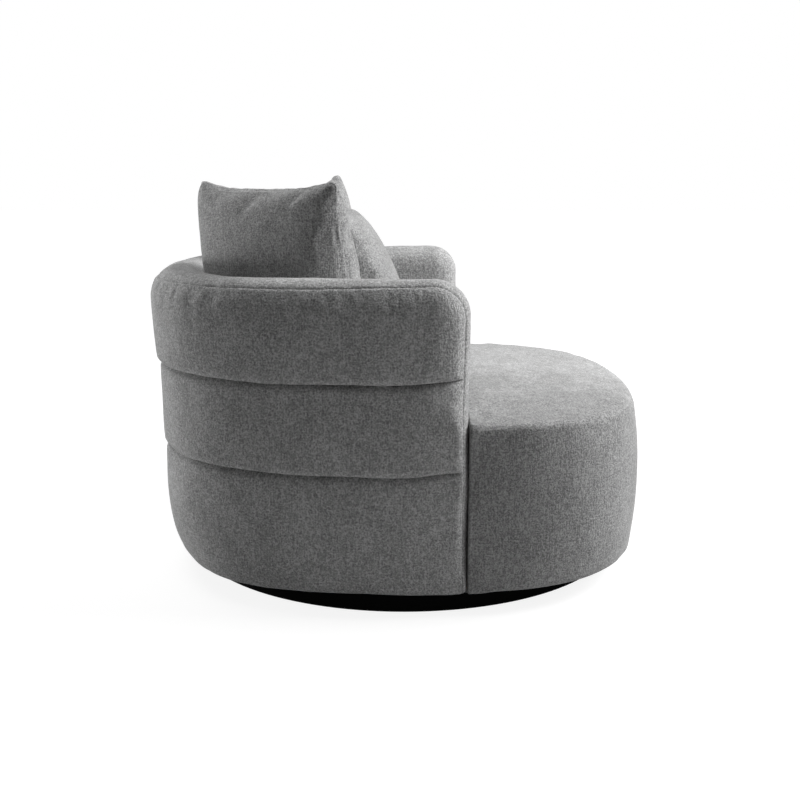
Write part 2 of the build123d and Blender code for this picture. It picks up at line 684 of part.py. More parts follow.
with BuildSketch(profile_plane) as strip_profile:
    with BuildLine():
        strip_foot = STRIP_SEAM_HEIGHT + FIT
        strip_rise = BACK_HEIGHT - strip_foot
        outer_edge = lean(strip_foot)
        easing = ((1 - quarter_middle) * STRIP_EDGE, quarter_middle * strip_rise)
        ThreePointArc(
            (outer_edge, strip_foot),
            (outer_edge - easing[0], strip_foot + easing[1]),
            (outer_edge - STRIP_EDGE, BACK_HEIGHT),
        )
        Line((outer_edge - STRIP_EDGE, BACK_HEIGHT), (inner_top + STRIP_EDGE, BACK_HEIGHT))
        ThreePointArc(
            (inner_top + STRIP_EDGE, BACK_HEIGHT),
            (inner_top + easing[0], strip_foot + easing[1]),
            (inner_top, strip_foot),
        )
        Line((inner_top, strip_foot), (outer_edge, strip_foot))
    make_face()
name_and_write(swept_pad(strip_profile.sketch), "top_strip")

for name, side in (("right_arm_facing", -1), ("left_arm_facing", 1)):
    with BuildPart() as arm_facing:
        with BuildSketch(Plane.XY.offset(board_top + FIT)):
            add(wrap_plan(-frame_outside, -frame_inside, ARM_REACH + ARM_FACING))
            add(wrap_plan(beyond, -WRAP_THICKNESS - beyond, ARM_REACH - ARM_FACING), mode=Mode.SUBTRACT)
            with Locations((side * BODY_HALF, 0)):
                Rectangle(2 * BODY_HALF, 2 * BODY_HALF, mode=Mode.INTERSECT)
        extrude(amount=STRIP_SEAM_HEIGHT - board_top - FIT)
        add(arm_mould.part, mode=Mode.INTERSECT)
    name_and_write(arm_facing.part, name)


def pillow_sections(size, thickness, inset, count):
    """The reach, bow, rounding and rise of sections of a pillow, from its seam in to its middle."""
    for section in range(count):
        inward = section / (count - 1)
        share = 1 - (1 - PILLOW_MIDDLE) * inward**PILLOW_CROWDING
        reach = (size / 2 - inset) * share
        bow = inward * (PILLOW_BELLY + PILLOW_DRAW_IN) - PILLOW_DRAW_IN
        rounding = PILLOW_EAR + (PILLOW_ROUNDNESS * reach - PILLOW_EAR) * inward
        rise = (thickness / 2 - inset) * (1 - share**2) ** PILLOW_FULLNESS
        yield reach, bow, rounding, rise


def pillow_plane(x, y, size, thickness, turn, lean_back, roll):
    """The seam plane of a pillow that stands on the seat: its front faces along the plane's normal."""
    level = Vector(cos(radians(turn)), sin(radians(turn)), 0)
    facing = Vector(sin(radians(turn)), -cos(radians(turn)), 0)
    rise_back = Vector(0, 0, cos(radians(lean_back))) - facing * sin(radians(lean_back))
    across = level * cos(radians(roll)) + rise_back * sin(radians(roll))
    up = rise_back * cos(radians(roll)) - level * sin(radians(roll))
    front = across.cross(up)
    under = []
    for reach, bow, rounding, rise in pillow_sections(size, thickness, 0, 2 * PILLOW_SECTIONS - 1):
        foot = reach - rounding
        for side, drop in ((-foot, reach), (0, reach + bow), (foot, reach)):
            under.append(across * side - up * drop - front * rise)
    height = max(seat_top(x + point.X, y + point.Y) - point.Z for point in under) + FIT
    return Plane(origin=(x, y, height), x_dir=across, z_dir=front)


def pillow_outline(reach, bow, rounding):
    """A square whose sides bow out or pull in between rounded corners."""
    flat = reach - rounding
    for quarter in range(4):
        angle = 90 * quarter
        ThreePointArc(turned(reach, -flat, angle), turned(reach + bow, 0, angle), turned(reach, flat, angle))
        tip = reach - rounding * (1 - quarter_middle)
        ThreePointArc(turned(reach, flat, angle), turned(tip, tip, angle), turned(flat, reach, angle))


def pillow_form(plane, size, thickness, inset):
    """A stuffed square, thickest in the middle, whose two faces meet in a seam."""
    with BuildPart() as form:
        for reach, bow, rounding, rise in pillow_sections(size, thickness, inset, PILLOW_SECTIONS):
            with BuildSketch(plane.offset(rise)):
                with BuildLine():
                    pillow_outline(reach, bow, rounding)
                make_face()
        loft()
        mirror(about=plane)
    return form.part


inner_half = BODY_HALF - WRAP_THICKNESS
right_place = (RIGHT_PILLOW_SIDE_GAP - inner_half, inner_half - RIGHT_PILLOW_BACK_GAP)
left_place = (inner_half - LEFT_PILLOW_SIDE_GAP, inner_half - LEFT_PILLOW_BACK_GAP)
front_place = (0, inner_half - FRONT_PILLOW_BACK_GAP)
rear_sizes = (PILLOW_SIZE, PILLOW_THICKNESS)
front_sizes = (FRONT_PILLOW_SIZE, FRONT_PILLOW_THICKNESS)
pillows = (
    ("right_pillow", right_place, rear_sizes, (RIGHT_PILLOW_TURN, RIGHT_PILLOW_LEAN, 0)),
    ("left_pillow", left_place, rear_sizes, (LEFT_PILLOW_TURN, LEFT_PILLOW_LEAN, LEFT_PILLOW_ROLL)),
    ("front_pillow", front_place, front_sizes, (0, FRONT_PILLOW_LEAN, 0)),
)
for name, (x, y), (size, thickness), (turn, lean_back, roll) in pillows:
    plane = pillow_plane(x, y, size, thickness, turn, lean_back, roll)
    with BuildPart() as pillow_cover:
        add(pillow_form(plane, size, thickness, 0))
        add(pillow_form(plane, size, thickness, PILLOW_COVER), mode=Mode.SUBTRACT)
    name_and_write(pillow_cover.part, f"{name}_cover")
    with BuildPart() as pillow_filling:
        add(pillow_form(plane, size, thickness, PILLOW_COVER + FIT))
    name_and_write(pillow_filling.part, f"{name}_filling")
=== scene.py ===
import json
import math

import bpy
from mathutils import Matrix, Vector, noise
from mathutils.bvhtree import BVHTree

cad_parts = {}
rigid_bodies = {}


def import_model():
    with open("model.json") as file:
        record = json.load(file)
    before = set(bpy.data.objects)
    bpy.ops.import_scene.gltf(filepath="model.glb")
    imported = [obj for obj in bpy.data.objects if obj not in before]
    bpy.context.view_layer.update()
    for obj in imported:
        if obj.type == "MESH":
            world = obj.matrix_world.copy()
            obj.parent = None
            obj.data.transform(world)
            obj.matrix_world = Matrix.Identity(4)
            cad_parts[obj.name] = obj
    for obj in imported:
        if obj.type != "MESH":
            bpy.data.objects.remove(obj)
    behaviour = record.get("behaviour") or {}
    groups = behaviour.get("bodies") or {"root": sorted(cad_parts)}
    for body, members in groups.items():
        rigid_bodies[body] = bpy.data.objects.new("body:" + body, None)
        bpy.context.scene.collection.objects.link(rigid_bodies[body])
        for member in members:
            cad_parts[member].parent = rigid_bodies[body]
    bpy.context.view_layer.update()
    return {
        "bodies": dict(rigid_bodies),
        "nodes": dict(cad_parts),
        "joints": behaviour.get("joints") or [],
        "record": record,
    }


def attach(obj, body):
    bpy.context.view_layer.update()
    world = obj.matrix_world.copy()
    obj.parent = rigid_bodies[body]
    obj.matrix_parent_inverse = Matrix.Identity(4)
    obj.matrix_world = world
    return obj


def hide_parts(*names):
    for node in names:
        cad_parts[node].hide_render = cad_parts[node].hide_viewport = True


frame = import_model()
nodes = frame["nodes"]
bpy.ops.object.select_all(action="DESELECT")
scene = bpy.context.scene
scene.view_settings.view_transform = "Standard"

# Studio. The chair stands on a seamless white floor. A broad soft lamp hangs high in front of it, a long low one
# stands behind it and a third hangs over its back. The camera looks at the sitter's right side from a little
# above the back.
CAMERA_PLACE = Vector((-2.7115, -0.0542, 0.938))
CAMERA_TURN = 0.020  # radians towards the back of the chair
CAMERA_TILT = 0.209  # radians down
FOCAL_PIXELS = 1038
PHOTO_PIXELS = 800
FRAME_SHIFT = -4.18  # pixels
ROOM_LIGHT = 0.064

camera_data = bpy.data.cameras.new("camera")
camera_data.sensor_width = 36
camera_data.lens = camera_data.sensor_width * FOCAL_PIXELS / PHOTO_PIXELS
camera_data.shift_x = FRAME_SHIFT / PHOTO_PIXELS
camera = bpy.data.objects.new("camera", camera_data)
scene.collection.objects.link(camera)
looking = Vector((math.cos(CAMERA_TURN), math.sin(CAMERA_TURN), -math.tan(CAMERA_TILT)))
camera.location = CAMERA_PLACE
camera.rotation_euler = looking.to_track_quat("-Z", "Y").to_euler()
scene.camera = camera


def soft_lamp(name, place, aim, size, watts):
    lamp = bpy.data.lights.new(name, "AREA")
    lamp.shape = "RECTANGLE"
    lamp.size, lamp.size_y = size
    lamp.energy = watts
    stand = bpy.data.objects.new(name, lamp)
    scene.collection.objects.link(stand)
    stand.location = place
    stand.rotation_euler = (Vector(aim) - Vector(place)).to_track_quat("-Z", "Y").to_euler()


soft_lamp("front_lamp", (0.2, -2.55, 2.3), (0, 0, 0.4), (2.0, 1.8), 128)
soft_lamp("rear_lamp", (0.9, 2.75, 0.32), (0, 0, 0.4), (1.8, 0.5), 40)
soft_lamp("top_lamp", (0.2, 1.2, 2.9), (0, 0.3, 0.6), (1.6, 1.6), 30)


def linear(colour):
    """A colour written as six hex digits of sRGB, as linear RGBA."""
    parts = [int(colour[i : i + 2], 16) / 255 for i in (0, 2, 4)]
    return [c / 12.92 if c <= 0.04045 else ((c + 0.055) / 1.055) ** 2.4 for c in parts] + [1]


def node(tree, kind, settings=None, sockets=None, links=None):
    """Adds a node, with its settings, its sockets' values, and links into it from other nodes' outputs."""
    new = tree.nodes.new(kind)
    for name, value in (settings or {}).items():
        setattr(new, name, value)
    for name, value in (sockets or {}).items():
        new.inputs[name].default_value = value
    for name, output in (links or {}).items():
        tree.links.new(output, new.inputs[name])
    return new


world = bpy.data.worlds.new("studio")
scene.world = world
world.use_nodes = True
tree = world.node_tree
tree.nodes.clear()
path = node(tree, "ShaderNodeLightPath")
shine = node(tree, "ShaderNodeMath", {"operation": "MAXIMUM"})
tree.links.new(path.outputs["Is Camera Ray"], shine.inputs[0])
tree.links.new(path.outputs["Is Glossy Ray"], shine.inputs[1])
room = node(tree, "ShaderNodeBackground", sockets={"Color": linear("ffffff"), "Strength": ROOM_LIGHT})
white = node(tree, "ShaderNodeBackground", sockets={"Color": linear("ffffff"), "Strength": 1})
seen = node(tree, "ShaderNodeMixShader", links={0: shine.outputs[0], 1: room.outputs[0], 2: white.outputs[0]})
node(tree, "ShaderNodeOutputWorld", links={"Surface": seen.outputs[0]})

FLOOR_SIZE = 60
FLOOR_GLOW = 0.88  # of full white, near the chair, so that its shadow shows
NEAR_FLOOR = 0.9  # from here outwards the floor's own white takes over from the lamps' light
FAR_FLOOR = 2.4
bpy.ops.mesh.primitive_plane_add(size=FLOOR_SIZE)
floor = bpy.context.object
floor.name = "floor"
floor_paint = bpy.data.materials.new("white_floor")
floor_paint.use_nodes = True
tree = floor_paint.node_tree
tree.nodes.clear()
path = node(tree, "ShaderNodeLightPath")
place = node(tree, "ShaderNodeTexCoord")
away = node(tree, "ShaderNodeVectorMath", {"operation": "LENGTH"}, links={0: place.outputs["Object"]})
whiteness = node(
    tree,
    "ShaderNodeMapRange",
    {"interpolation_type": "SMOOTHSTEP"},
    {"From Min": NEAR_FLOOR, "From Max": FAR_FLOOR, "To Min": FLOOR_GLOW, "To Max": 1},
    {"Value": away.outputs["Value"]},
)
shaded = node(tree, "ShaderNodeBsdfDiffuse", sockets={"Color": linear("8c8c8c")})
glow = node(
    tree, "ShaderNodeEmission", sockets={"Color": linear("ffffff")}, links={"Strength": whiteness.outputs[0]}
)
seen = node(tree, "ShaderNodeAddShader", links={0: shaded.outputs[0], 1: glow.outputs[0]})
bounce = node(tree, "ShaderNodeBsdfDiffuse", sockets={"Color": linear("c8c8c8")})
both = node(
    tree,
    "ShaderNodeMixShader",
    links={0: path.outputs["Is Camera Ray"], 1: bounce.outputs[0], 2: seen.outputs[0]},
)
node(tree, "ShaderNodeOutputMaterial", links={"Surface": both.outputs[0]})
floor.data.materials.append(floor_paint)


# Plinth. A black lacquered ring of bent plywood stands on a rubber ring, well in under the body, so that only
# a thin dark line of it shows.
def new_material(name, **shader):
    """A material with its principled shader's sockets set: returns it, its node tree and that shader."""
    material = bpy.data.materials.new(name)
    material.use_nodes = True
    tree = material.node_tree
    tree.nodes.clear()
    bsdf = node(tree, "ShaderNodeBsdfPrincipled", sockets=shader)
    node(tree, "ShaderNodeOutputMaterial", links={"Surface": bsdf.outputs[0]})
    return material, tree, bsdf


def grained(name, dark, light, size, stretch, depth, **shader):
    """A material whose colour wanders between two tones, in grains of a size in metres, stretched along the axes,
    with a bump of a depth."""
    material, tree, bsdf = new_material(name, **shader)
    place = node(tree, "ShaderNodeTexCoord")
    scale = tuple(1 / (size * s) for s in stretch)
    turn = node(tree, "ShaderNodeMapping", sockets={"Scale": scale}, links={"Vector": place.outputs["Object"]})
    grain = node(tree, "ShaderNodeTexNoise", sockets={"Scale": 1, "Detail": 4}, links={"Vector": turn.outputs[0]})
    tone = node(tree, "ShaderNodeMix", {"data_type": "RGBA"}, links={"Factor": grain.outputs["Fac"]})
    tone.inputs["A"].default_value = linear(dark)
    tone.inputs["B"].default_value = linear(light)
    tree.links.new(tone.outputs["Result"], bsdf.inputs["Base Color"])
    relief = node(
        tree, "ShaderNodeBump", sockets={"Strength": 0.5, "Distance": depth}, links={"Height": grain.outputs["Fac"]}
    )
    tree.links.new(relief.outputs[0], bsdf.inputs["Normal"])
    return material


def finish_nodes(material, *names):
    for name in names:
        mesh = nodes[name].data
        mesh.materials.clear()
        mesh.materials.append(material)


# Moulded rubber is matt, with a faint pebble. Sprayed lacquer is satin and takes a slight orange peel.
rubber = grained("moulded_rubber", "060606", "0a0a0a", 0.0012, (1, 1, 1), 0.0002, Roughness=0.9)
lacquer = grained(
    "black_lacquer", "030303", "050505", 0.004, (1, 1, 1), 0.0001, **{"Roughness": 0.7, "Specular IOR Level": 0.05}
)
finish_nodes(rubber, "floor_ring")
finish_nodes(lacquer, "plinth_ring")

# Base board, seat board and rails. Birch plywood, cut to shape, sanded and left bare, because nothing of it
# shows. The boards are screwed to the swivel, and the rails stand on posts.
# Sanded birch is pale and dry, with a soft long figure.
plywood = grained("birch_plywood", "b08a5a", "d8bb8c", 0.006, (8, 1, 0.4), 0.0002, Roughness=0.65)
finish_nodes(plywood, "base_board", "seat_board", "spring_rail")
finish_nodes(plywood, "back_lower_rail", "back_middle_rail", "back_top_rail")

# Swivel. Two pressed steel plates, zinc plated, with a ring of hardened balls between their races, and the
# bolt that keeps them together.
# Zinc plate is bright and a little cloudy, and ground balls shine. Sintered bronze is a dull oily brown, and
# moulded nylon is milky.
zinc = grained("zinc_plated_steel", "9c9fa3", "c4c7ca", 0.005, (1, 1, 1), 0.00005, Metallic=1, Roughness=0.38)
bearing = grained("bearing_steel", "b4b6b9", "c8cacc", 0.002, (1, 1, 1), 0.00001, Metallic=1, Roughness=0.12)
bronze = grained("sintered_bronze", "7a5526", "99713a", 0.0006, (1, 1, 1), 0.00005, Metallic=1, Roughness=0.45)
nylon = grained("moulded_nylon", "d5d2c6", "e3e0d5", 0.003, (1, 1, 1), 0.00005, Roughness=0.5)
finish_nodes(zinc, "swivel_lower_plate", "swivel_upper_plate", "lower_plate_screws", "swivel_bolt")
finish_nodes(zinc, "swivel_washer", "swivel_nut", "upper_plate_bolts", "upper_plate_tnuts")
finish_nodes(bearing, "bearing_balls")
finish_nodes(bronze, "pivot_bush")
finish_nodes(nylon, "ball_cage")

# Frame of the seat and back. Beech posts stand on the seat board, with a thin bent panel across the front and
# a black dust cover stapled underneath.
# Planed beech is pinkish with short upright flecks, hardboard is smooth and brown, and spun cloth a flat black.
beech = grained("planed_beech", "b98d62", "d3ab80", 0.003, (1, 1, 12), 0.0002, Roughness=0.6)
hardboard = grained("hardboard", "5a3a22", "74502f", 0.001, (1, 1, 1), 0.0002, Roughness=0.7)
dust_cloth = grained("black_spun_cloth", "101010", "1e1e1e", 0.0015, (1, 1, 1), 0.0002, Roughness=0.95)
finish_nodes(beech, "seat_posts", "back_uprights")
finish_nodes(hardboard, "front_panel")
finish_nodes(dust_cloth, "dust_cover")

# Springing. Zigzag springs of hard-drawn wire, hooked into clips on the spring rail, under a felt and the
# seat's foam.
# Drawn wire has a dark oily shine, needled felt is grey and hairy, and cut foam is cream with fine cells.
wire = grained("spring_steel", "4a4c4e", "63666a", 0.002, (1, 1, 1), 0.00002, Metallic=1, Roughness=0.35)
felt = grained("needled_felt", "6d6a63", "8b877e", 0.0015, (1, 1, 0.4), 0.0004, Roughness=0.95)
foam = grained("cut_foam", "d6cba0", "e8dfba", 0.0015, (1, 1, 1), 0.0004, Roughness=0.9)
finish_nodes(wire, "seat_springs")
finish_nodes(zinc, "spring_clips")
finish_nodes(felt, "spring_pad")
finish_nodes(foam, "seat_foam", "front_pad")

# Cover of the seat. One drum of grey chenille, pulled down over the foam and the front panel and stapled
# underneath, with a soft rim and a crowned top.
BODY_HALF = 0.590  # turning axis to the middle of a side
SIDE_RADIUS = 1.250
CORNER_RADIUS = 0.390
SIDE_MIDDLE = SIDE_RADIUS - BODY_HALF
CORNER_MIDDLE = (math.sqrt(2 * (SIDE_RADIUS - CORNER_RADIUS) ** 2 - SIDE_MIDDLE**2) - SIDE_MIDDLE) / 2
SIDE_TURN = math.atan2(CORNER_MIDDLE, CORNER_MIDDLE + SIDE_MIDDLE)
SIDE_RUN = SIDE_RADIUS * SIDE_TURN  # middle of a side to its corner, along the outline
CORNER_RUN = CORNER_RADIUS * (math.pi / 2 - 2 * SIDE_TURN)
QUARTER_RUN = 2 * SIDE_RUN + CORNER_RUN  # middle of a side to the middle of the next
ARM_REACH = 0.150  # turning axis to the front of the arms
ARM_RUN = SIDE_RADIUS * math.asin(ARM_REACH / SIDE_RADIUS)
WRAP_THICKNESS = 0.110
SEAT_LAP = 0.0003  # the seat stops this far from the lining
BODY_BOTTOM = 0.047
SEAT_HEIGHT = 0.430
SEAT_CROWN = 0.022
EDGE_DROP = 0.0004  # its edge lies this much lower than the crown
SEAT_RIM = 0.018  # beside the arms
FRONT_RIM = 0.046  # in the middle of the front
SIDE_SWELL = 0.009
HEM_RADIUS = 0.018
HEM_TUCK = 0.030  # the cloth goes this far in underneath
HEM_ROUND = 0.85  # share of the hem's rings on its round edge
SEAT_MIDDLE = -0.30  # the top's rings close on this place, in front of the turning axis
SEAT_RINGS = 52
TOP_RINGS = 32
RIM_RINGS = 6
SIDE_RINGS = 8
CORNER_CROWD = 0.060  # the blank's columns crowd this near an arm's front
TOP_WAVES = ((0.16, 0.004), (0.05, 0.001))  # size and depth
SIDE_WAVES = ((0.12, 0.0015),)
SEAT_PRESSURE = 1.5
SEAT_PUFF = 0.003  # the padding moves the cloth out by this much at most
SWELL_FRAMES = 20
CREASE_ROUND = 0.0015  # the drum turns in beside the arms
FOAM_CLEAR = 0.002  # the cloth stays this far out from its foam
FOAM_REACH = 0.020  # a point deeper than this belongs to another side
SEAT_CLOTH = 0.004
crown_radius = (BODY_HALF**2 + SEAT_CROWN**2) / (2 * SEAT_CROWN)


def smooth(value, start, end):
    """0 before start, 1 after end, and a smooth rise between."""
    share = min(1, max(0, (value - start) / (end - start)))
    return share * share * (3 - 2 * share)


def outline(run, out):
    """A place on the body's outline, moved out. run is measured along it from the middle of the right side,
    towards the back where it is positive and the front where it is negative."""
    squared = 1 - smooth(abs(run + ARM_RUN), 0.05, 0.25)  # across the arms' fronts, places stay in line
    length = abs(run)
    if length <= SIDE_RUN:
        turn = math.asin(SIDE_RADIUS * math.sin(length / SIDE_RADIUS) / (SIDE_RADIUS + out * squared))
        x = SIDE_MIDDLE - (SIDE_RADIUS + out) * math.cos(turn)
        y = (SIDE_RADIUS + out) * math.sin(turn)
    elif length <= SIDE_RUN + CORNER_RUN:
        turn = SIDE_TURN + (length - SIDE_RUN) / CORNER_RADIUS
        x = -CORNER_MIDDLE - (CORNER_RADIUS + out) * math.cos(turn)
        y = CORNER_MIDDLE + (CORNER_RADIUS + out) * math.sin(turn)
    else:
        turn = (QUARTER_RUN - length) / SIDE_RADIUS
        x = -(SIDE_RADIUS + out) * math.sin(turn)
        y = (SIDE_RADIUS + out) * math.cos(turn) - SIDE_MIDDLE
    return x, math.copysign(y, run)


def seat_top(x, y):
    """Height of the seat's crown."""
    return SEAT_HEIGHT + SEAT_CROWN - crown_radius + math.sqrt(crown_radius**2 - x * x - y * y)


def rounded(distance, radius):
    """How far a quarter round has drawn in at a distance from its end."""
    left = max(0, radius - distance)
    return radius - math.sqrt(max(0, radius**2 - left**2))


def uneven(place, waves):
    """Slight unevenness of a padded surface: waves of some sizes in metres, each up to a depth."""
    return sum(depth * noise.noise(place / size) for size, depth in waves)


front_run = QUARTER_RUN - ARM_RUN  # arm's front to the middle of the front, along the outline
back_run = QUARTER_RUN + ARM_RUN
seat_side = WRAP_THICKNESS + SEAT_LAP
wall_run = seat_side - SEAT_RIM  # along the arm's front, under its end
half_edge = front_run + wall_run + back_run


def rim_at(run):
    """Radius of the drum's rim, from the middle of the front."""
    return FRONT_RIM + (SEAT_RIM - FRONT_RIM) * smooth(run, 0.05, front_run - 0.1)


def seat_edge(run):
    """Edge of the seat's flat top, from the middle of the front to the middle of the back, on the right.
    Returns its place in plan, and how far along the front it is if it is there."""
    if run <= front_run:
        return outline(run - QUARTER_RUN, -rim_at(run)), front_run - run
    if run <= front_run + wall_run:
        out = -SEAT_RIM - (run - front_run)
        return outline(-ARM_RUN, out), None
    return outline(run - front_run - wall_run - ARM_RUN, -seat_side), None


def seat_skin(ring, share):
    """A place on the drum's skin. ring counts out from the middle of the top, share goes round it."""
    side = -1 if share > 0.5 else 1
    run = half_edge * (2 * share if share <= 0.5 else 2 - 2 * share)
    past = run - front_run  # columns crowd at the corner beside an arm's front
    run = front_run + past * min(1, abs(past) / CORNER_CROWD) ** 1.5
    (x, y), left = seat_edge(run)
    x *= side
    if ring <= TOP_RINGS:
        reach = ring / TOP_RINGS
        x, y = x * reach, SEAT_MIDDLE + (y - SEAT_MIDDLE) * reach
        return Vector((x, y, seat_top(x, y) - EDGE_DROP * reach))
    low = seat_top(x, y)
    if left is None:
        drop = (ring - TOP_RINGS) / (SEAT_RINGS - TOP_RINGS)
        return Vector((x, y, low + (BODY_BOTTOM - low) * drop))
    draw = rounded(left, CREASE_ROUND)
    rim = rim_at(front_run - left)
    if ring <= TOP_RINGS + RIM_RINGS:
        turn = math.pi / 2 * (ring - TOP_RINGS) / RIM_RINGS
        out = -rim * (1 - math.sin(turn))
        height = low - rim * (1 - math.cos(turn))
    elif ring <= TOP_RINGS + RIM_RINGS + SIDE_RINGS:
        drop = (ring - TOP_RINGS - RIM_RINGS) / SIDE_RINGS
        out = SIDE_SWELL * math.sin(math.pi * drop) * smooth(left, 0, 0.3)
        foot = BODY_BOTTOM + HEM_RADIUS
        height = low - rim + (foot - low + rim) * drop
    else:
        under = (ring - TOP_RINGS - RIM_RINGS - SIDE_RINGS) / (SEAT_RINGS - TOP_RINGS - RIM_RINGS - SIDE_RINGS)
        turn = math.pi / 2 * min(1, under / HEM_ROUND)
        tucked = max(0, under - HEM_ROUND) / (1 - HEM_ROUND)
        out = -HEM_RADIUS * (1 - math.cos(turn)) - (HEM_TUCK - HEM_RADIUS) * tucked
        height = BODY_BOTTOM + HEM_RADIUS * (1 - math.sin(turn))
    x, y = outline(-ARM_RUN - left, out - draw)
    return Vector((x * side, y, height))


def add_grid(name, columns, rows):
    """A flat blank of cloth, one unit square, whose points a piece then moves to their places."""
    bpy.ops.mesh.primitive_grid_add(x_subdivisions=columns, y_subdivisions=rows, size=1)
    blank = bpy.context.object
    blank.name = name
    blank.data.name = name
    return blank


def apply_modifier(piece, kind, **settings):
    bpy.context.view_layer.objects.active = piece
    modifier = piece.modifiers.new(kind.lower(), kind)
    for name, value in settings.items():
        setattr(modifier, name, value)
    bpy.ops.object.modifier_apply(modifier=modifier.name)


def swell(piece, pinned, pressure, caps):
    """Pads a sewn piece out with a cloth simulation, by pressure from inside. Its pinned points stay, and none
    moves further than its cap."""
    rest = [vertex.co.copy() for vertex in piece.data.vertices]
    sewn = piece.vertex_groups.new(name="sewn")
    sewn.add(pinned, 1, "REPLACE")
    cloth = piece.modifiers.new("padding", "CLOTH")
    settings = cloth.settings
    settings.quality = 6
    settings.mass = 0.3
    settings.tension_stiffness = settings.compression_stiffness = 12
    settings.shear_stiffness = 4
    settings.bending_stiffness = 0.4
    settings.use_pressure = True
    settings.uniform_pressure_force = pressure
    settings.shrink_min = -0.03
    settings.vertex_group_mass = "sewn"
    settings.pin_stiffness = 1
    settings.effector_weights.gravity = 0
    cloth.collision_settings.use_collision = False
    cloth.point_cache.frame_end = SWELL_FRAMES
    for step in range(1, SWELL_FRAMES + 1):
        scene.frame_set(step)
    swollen = piece.evaluated_get(bpy.context.evaluated_depsgraph_get())
    moved = [vertex.co.copy() for vertex in swollen.data.vertices]
    piece.modifiers.remove(cloth)
    piece.vertex_groups.clear()
    for vertex, start, end, cap in zip(piece.data.vertices, rest, moved, caps):
        step = end - start
        if step.length > cap:
            step *= cap / step.length
        vertex.co = start + step
    scene.frame_set(1)


def keep_out(piece, points, core):
    """Lifts a cover's points out of the foam that it lies on."""
    solid = nodes[core]
    corners = [solid.matrix_world @ vertex.co for vertex in solid.data.vertices]
    skin = BVHTree.FromPolygons(corners, [polygon.vertices[:] for polygon in solid.data.polygons])
    for index in points:
        vertex = piece.data.vertices[index]
        spot, normal, _, _ = skin.find_nearest(vertex.co)
        sunk = FOAM_CLEAR - (vertex.co - spot).dot(normal)
        if 0 < sunk < FOAM_REACH:
            vertex.co += normal * sunk


def close_and_smooth(piece, thickness):
    """Rounds a shaped blank and gives it its thickness, inwards."""
    apply_modifier(piece, "SUBSURF", levels=1, render_levels=1)
    apply_modifier(piece, "SOLIDIFY", thickness=thickness, offset=-1, use_rim=True)
    bpy.ops.object.shade_smooth_by_angle(angle=math.radians(50))
    piece.select_set(False)


seat_cover = add_grid("seat_upholstery", 2 * SEAT_RINGS, 2 * SEAT_RINGS)
sewn = []
for vertex in seat_cover.data.vertices:
    i = round(vertex.co.x * 2 * SEAT_RINGS)
    j = round(vertex.co.y * 2 * SEAT_RINGS)
    ring = max(abs(i), abs(j))
    if ring == 0:
        share = 0
    elif j == -ring:  # front
        share = i / (8 * ring)
    elif i == ring:  # left side
        share = (2 * ring + j) / (8 * ring)
    elif j == ring:  # back
        share = (4 * ring - i) / (8 * ring)
    else:  # right side
        share = (6 * ring - j) / (8 * ring)
    share = (share + 1) % 1
    place = seat_skin(ring, 1 - share if share else 0)
    if ring < TOP_RINGS + RIM_RINGS // 2:
        place.z += uneven(place, TOP_WAVES)
    elif place.y < -ARM_REACH - 0.01:
        place += Vector((place.x, place.y, 0)).normalized() * uneven(place, SIDE_WAVES)
    vertex.co = place
    if ring == SEAT_RINGS or place.y > -ARM_REACH - 0.02:
        sewn.append(vertex.index)
swell(seat_cover, sewn, SEAT_PRESSURE, [SEAT_PUFF] * len(seat_cover.data.vertices))
loose = sorted(set(range(len(seat_cover.data.vertices))) - set(sewn))
keep_out(seat_cover, loose, "seat_foam")
keep_out(seat_cover, loose, "front_pad")


